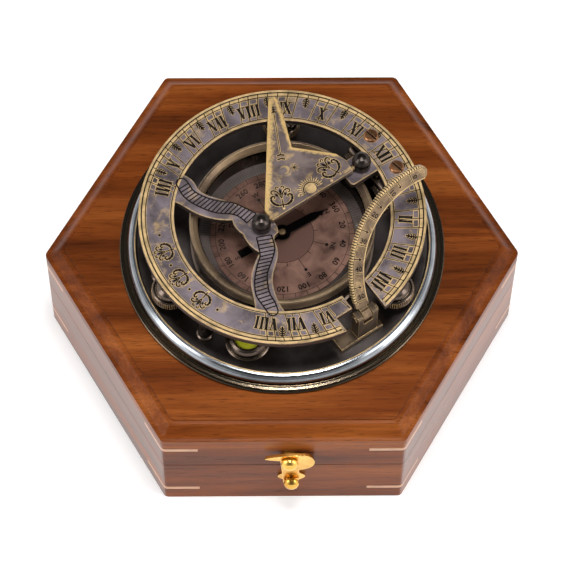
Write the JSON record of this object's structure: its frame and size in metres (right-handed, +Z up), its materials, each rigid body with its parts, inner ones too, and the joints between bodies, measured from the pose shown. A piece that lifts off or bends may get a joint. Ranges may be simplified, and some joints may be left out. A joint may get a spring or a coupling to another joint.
{
  "type": "pocket sundial",
  "caption": "Universal sundial compass with tilting hour ring, folding gnomon and latitude arc, standing on its hexagonal hardwood case.",
  "frame": {"origin": "middle of the case's bottom face", "axes": "+Z up, latch towards -Y, hinges towards +Y, +X along the case's pointed corners"},
  "size_m": [0.1754, 0.1625, 0.1026],
  "materials": {
    "walnut": "oiled, satin, straight grain",
    "maple": "pale contrasting slips, satin",
    "felt": "short green baize",
    "gold_brass": "bright polished",
    "dark_brass": "darkened and polished",
    "aged_brass": "antiqued, worn bright on the edges",
    "copper_card": "coppered, printed",
    "blued_steel": "blackened",
    "clear_glass": "clear",
    "level_liquid": "yellow-green spirit"
  },
  "bodies": {
    "case_body": {"case_side_boards": "walnut", "case_corner_keys": "maple", "case_bottom_board": "walnut", "case_floor_felt": "felt", "case_nest_block": "felt", "case_hinge_leaves": "gold_brass", "case_hinge_screws": "gold_brass", "case_hinge_pins": "gold_brass", "latch_catch_plate": "gold_brass", "latch_catch_knob": "gold_brass"},
    "case_lid": {"lid_side_boards": "walnut", "lid_corner_keys": "maple", "lid_top_board": "walnut", "lid_felt": "felt", "lid_hinge_leaves": "gold_brass", "lid_hinge_screws": "gold_brass", "latch_pivot_washer": "gold_brass", "latch_pivot_knob": "gold_brass"},
    "latch": {"latch_lever": "gold_brass"},
    "dial": {"base_dish": "dark_brass", "compass_box": "dark_brass", "compass_bezel": "aged_brass", "compass_glass": "clear_glass", "glass_seat_ring": "dark_brass", "compass_card": "copper_card", "compass_degree_ring": "copper_card", "needle_pivot": "blued_steel", "level_housing": "dark_brass", "level_vial": "level_liquid", "ring_rest_pillars": "dark_brass", "latitude_clevis": "aged_brass", "latitude_pin": "aged_brass", "tilt_hinge_block": "dark_brass", "tilt_hinge_pin": "dark_brass"},
    "needle": {"compass_needle": "blued_steel", "needle_cap": "aged_brass"},
    "levelling_screw_1": {"levelling_screw_1": "dark_brass"},
    "levelling_screw_2": {"levelling_screw_2": "dark_brass"},
    "levelling_screw_3": {"levelling_screw_3": "dark_brass"},
    "latitude_arc": {"latitude_arc": "aged_brass"},
    "hour_ring": {"hour_ring": "aged_brass", "tilt_hinge_bracket": "dark_brass", "hour_ring_screws": "copper_card", "gnomon_post_south": "dark_brass", "gnomon_post_north": "dark_brass"},
    "gnomon": {"gnomon_plate": "aged_brass", "gnomon_pins": "aged_brass"}
  },
  "joints": [
    {"name": "lid_hinge", "type": "hinge", "parent": "case_body", "child": "case_lid", "pos_m": [0, 0.07831, 0.02945], "axis": [-1, 0, 0], "range_deg": [0, 95]},
    {"name": "latch_turn", "type": "hinge", "parent": "case_lid", "child": "latch", "pos_m": [0.0022, -0.07821, 0.038], "axis": [0, 1, 0], "range_deg": [0, 110]},
    {"name": "dial_lift", "type": "slide", "parent": "case_lid", "child": "dial", "axis": [0, 0, 1], "range_m": [0, 0.05]},
    {"name": "needle_turn", "type": "hinge", "parent": "dial", "child": "needle", "pos_m": [0, 0, 0.0671], "axis": [0, 0, 1], "continuous": true},
    {"name": "levelling_turn_1", "type": "hinge", "parent": "dial", "child": "levelling_screw_1", "pos_m": [-0.0407, -0.0235, 0.0631], "axis": [0, 0, 1], "continuous": true},
    {"name": "levelling_turn_2", "type": "hinge", "parent": "dial", "child": "levelling_screw_2", "pos_m": [0.0407, -0.0235, 0.0631], "axis": [0, 0, 1], "continuous": true},
    {"name": "levelling_turn_3", "type": "hinge", "parent": "dial", "child": "levelling_screw_3", "pos_m": [0, 0.047, 0.0631], "axis": [0, 0, 1], "continuous": true},
    {"name": "latitude_lean", "type": "hinge", "parent": "dial", "child": "latitude_arc", "pos_m": [0.02935, -0.03685, 0.0741], "axis": [0.8221, 0.5693, 0], "range_deg": [-26, 43.5]},
    {"name": "ring_tilt", "type": "hinge", "parent": "dial", "child": "hour_ring", "pos_m": [0.03206, 0.0222, 0.0741], "axis": [-0.5693, 0.8221, 0], "range_deg": [0, 70]},
    {"name": "gnomon_fold", "type": "hinge", "parent": "hour_ring", "child": "gnomon", "pos_m": [0, 0, 0.0831], "axis": [0.8221, 0.5693, 0], "range_deg": [0, 90]}
  ]
}
